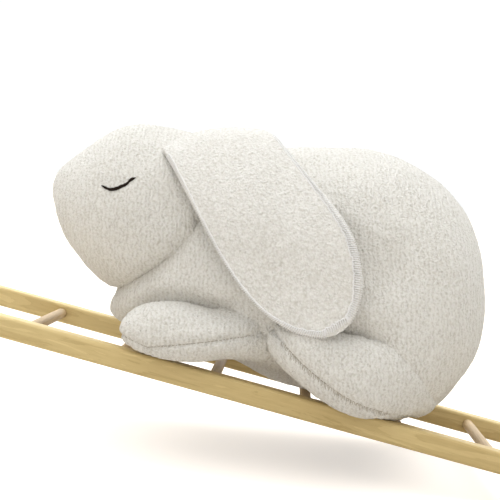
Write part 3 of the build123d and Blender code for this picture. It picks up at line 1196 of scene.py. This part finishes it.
class RABBIT_OT_stage(bpy.types.Operator):
    """Floor, light and camera"""

    bl_idname = "rabbit.stage"
    bl_label = "Stage"

    def execute(self, context):
        opts = context.scene.rabbit_stage
        turn = Matrix.Rotation(opts.roll, 3, "Z")
        turn = turn @ Matrix.Rotation(opts.pitch, 3, "X")
        turn = turn @ Matrix.Rotation(opts.yaw, 3, "Y")
        right, down, ahead = turn @ Matrix(((1, 0, 0), (0, 0, -1), (0, 1, 0)))
        up = -down
        self.camera(context.scene, opts, right, up, ahead)
        self.floor(context, (up - ahead * math.tan(opts.drop) + right * math.tan(opts.lean)).normalized())
        lamps = (("key", KEY_PLACE, opts.key, KEY_TINT), ("rim", RIM_PLACE, opts.rim, RIM_TINT))
        for name, shares, power, tint in lamps:
            place = up * shares[0] + ahead * shares[1] + right * shares[2]
            self.lamp(name, place, power, opts.spread, tint)
        self.sky(context.scene, opts)
        context.scene.view_settings.view_transform = "Standard"
        return {"FINISHED"}

    def camera(self, scene, opts, right, up, ahead):
        """Camera at its place, looking ahead."""
        data = bpy.data.cameras.new("camera")
        data.lens = opts.lens
        data.sensor_width = 36.0
        data.clip_start = 0.01
        camera = make_object("camera", data)
        axes = Matrix((right, up, -ahead)).transposed()
        camera.matrix_world = Matrix.Translation(Vector(opts.eye)) @ axes.to_4x4()
        scene.camera = camera

    def facing(self, place, direction):
        """Transform at a place, with its z axis in a direction."""
        return Matrix.Translation(place) @ direction.to_track_quat("Z", "Y").to_matrix().to_4x4()

    def floor(self, context, level):
        """Floor square to a direction, under the lowest corner of the ladder frame."""
        ends = (-LADDER_HALF, LADDER_HALF)
        sides = (-RAIL_FACE, RAIL_FACE)
        corners = [Vector((x, y, 0)) for x in ends for y in sides]
        touch = min(corners, key=lambda c: c.dot(level))
        bpy.ops.mesh.primitive_plane_add(size=FLOOR_SIZE)
        floor = context.active_object
        floor.name = "floor"
        floor.matrix_world = self.facing(touch, level)
        dress(floor, self.floor_material())

    def sky(self, scene, opts):
        """Even light all round, seen as white."""
        world = bpy.data.worlds.new("world")
        world.use_nodes = True
        scene.world = world
        tree = world.node_tree
        tree.nodes.clear()
        out = add(tree, "ShaderNodeOutputWorld")
        shade = add(tree, "ShaderNodeBackground")
        rays = add(tree, "ShaderNodeLightPath")
        seen = math_node(tree, "MAXIMUM", rays.outputs["Is Camera Ray"], rays.outputs["Is Glossy Ray"])
        seen = math_node(tree, "MAXIMUM", seen, rays.outputs["Is Transmission Ray"])
        strength = range_node(tree, seen, 0.0, 1.0, low=opts.sky, high=SKY_SEEN)
        shade.inputs["Color"].default_value = SKY_TINT
        feed(tree, strength, shade.inputs["Strength"])
        feed(tree, shade.outputs[0], out.inputs[0])

    def lamp(self, name, place, power, spread, colour):
        """Broad soft lamp aimed at the rabbit."""
        data = bpy.data.lights.new(name, "SUN")
        data.energy = power
        data.angle = spread
        data.color = colour
        lamp = make_object(name, data)
        lamp.matrix_world = self.facing(place, place)

    def floor_material(self):
        """White floor that still takes a soft shadow."""
        mat = bpy.data.materials.new("floor_white")
        mat.use_nodes = True
        tree = mat.node_tree
        tree.nodes.clear()
        out = add(tree, "ShaderNodeOutputMaterial")
        mix = add(tree, "ShaderNodeMixShader")
        matt = add(tree, "ShaderNodeBsdfDiffuse")
        glow = add(tree, "ShaderNodeEmission")
        set_inputs(glow, {"Color": (1.0, 1.0, 1.0, 1.0), "Strength": FLOOR_GLOW})
        seen = add(tree, "ShaderNodeLightPath").outputs["Is Camera Ray"]
        # Seen by the camera the floor is tinted warm: lit floor still shows white, and its shadow shows a
        # painted warm bounce light
        feed(tree, colour_node(tree, seen, FLOOR_BOUNCE, FLOOR_SEEN_WARM_SHADE), matt.inputs["Color"])
        feed(tree, math_node(tree, "MULTIPLY", seen, FLOOR_GLOW_SHARE), mix.inputs[0])
        feed(tree, matt.outputs[0], mix.inputs[1])
        feed(tree, glow.outputs[0], mix.inputs[2])
        feed(tree, mix.outputs[0], out.inputs[0])
        return mat


class RABBIT_PT_panel(bpy.types.Panel):
    """Buttons and settings of the rabbit"""

    bl_idname = "RABBIT_PT_panel"
    bl_label = "Plush Rabbit"
    bl_space_type = "VIEW_3D"
    bl_region_type = "UI"
    bl_category = "Rabbit"

    def draw(self, context):
        for operator in OPERATORS:
            self.layout.operator(operator.bl_idname)
        for name in SETTINGS:
            group = getattr(context.scene, name)
            box = self.layout.box()
            for key in type(group).__annotations__:
                box.prop(group, key)


SETTINGS = {
    "rabbit_plush": PlushSettings,
    "rabbit_ear": EarSettings,
    "rabbit_eye": EyeSettings,
    "rabbit_wood": WoodSettings,
    "rabbit_stage": StageSettings,
}
OPERATORS = (
    RABBIT_OT_wood,
    RABBIT_OT_body,
    RABBIT_OT_paws,
    RABBIT_OT_legs,
    RABBIT_OT_ears,
    RABBIT_OT_eyes,
    RABBIT_OT_stage,
)


def register():
    """Adds the settings, operators and panel."""
    for name, group in SETTINGS.items():
        bpy.utils.register_class(group)
        setattr(bpy.types.Scene, name, PointerProperty(type=group))
    for operator in OPERATORS:
        bpy.utils.register_class(operator)
    bpy.utils.register_class(RABBIT_PT_panel)


def unregister():
    """Removes the panel, operators and settings."""
    bpy.utils.unregister_class(RABBIT_PT_panel)
    for operator in reversed(OPERATORS):
        bpy.utils.unregister_class(operator)
    for name, group in SETTINGS.items():
        delattr(bpy.types.Scene, name)
        bpy.utils.unregister_class(group)


def main():
    """Builds everything in order."""
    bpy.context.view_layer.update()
    register()
    bpy.ops.rabbit.wood()
    bpy.ops.rabbit.body()
    bpy.ops.rabbit.paws()
    bpy.ops.rabbit.legs()
    bpy.ops.rabbit.ears()
    bpy.ops.rabbit.eyes()
    bpy.ops.rabbit.stage()


if __name__ == "__main__":
    main()
